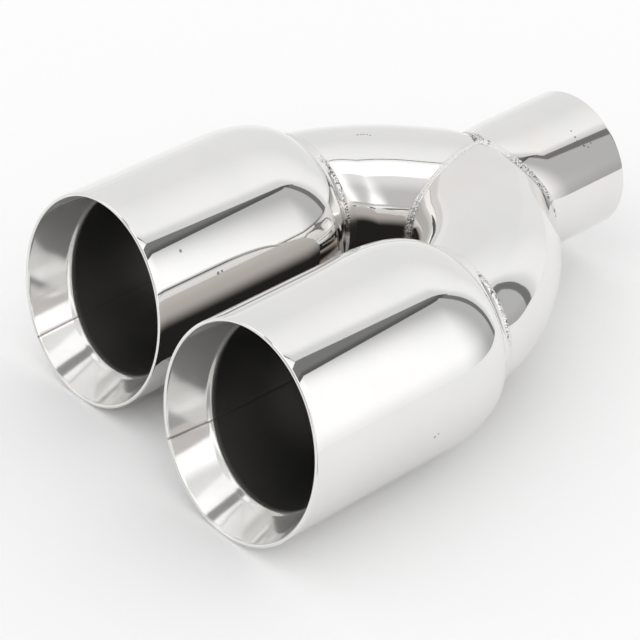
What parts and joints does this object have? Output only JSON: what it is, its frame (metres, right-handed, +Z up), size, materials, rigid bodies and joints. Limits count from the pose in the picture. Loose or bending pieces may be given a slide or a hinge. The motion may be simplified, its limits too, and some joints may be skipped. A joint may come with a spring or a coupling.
{
  "type": "exhaust tip",
  "caption": "Staggered twin exhaust tip: a slip-on inlet pipe splits into bent legs that feed large round double-wall tips with slant-cut mouths.",
  "frame": {"origin": "centre of the inlet pipe's open end", "axes": "+Y along the inlet pipe and out of its open end, +Z up as the part lies on both tips, +X to the right hand of somebody looking into the mouths"},
  "size_m": [0.198, 0.2529, 0.0888],
  "materials": {
    "polished_steel": "mirror-polished stainless steel",
    "liner_steel": "polished flare running into a duller sleeve",
    "weld_metal": "rippled weld bead, as laid"
  },
  "bodies": {
    "root": {"inlet_pipe": "polished_steel", "right_leg": "polished_steel", "left_leg": "polished_steel", "right_shell": "polished_steel", "left_shell": "polished_steel", "right_liner": "liner_steel", "left_liner": "liner_steel", "inlet_right_weld": "weld_metal", "inlet_left_weld": "weld_metal", "crotch_weld": "weld_metal", "right_neck_weld": "weld_metal", "left_neck_weld": "weld_metal"}
  },
  "joints": []
}
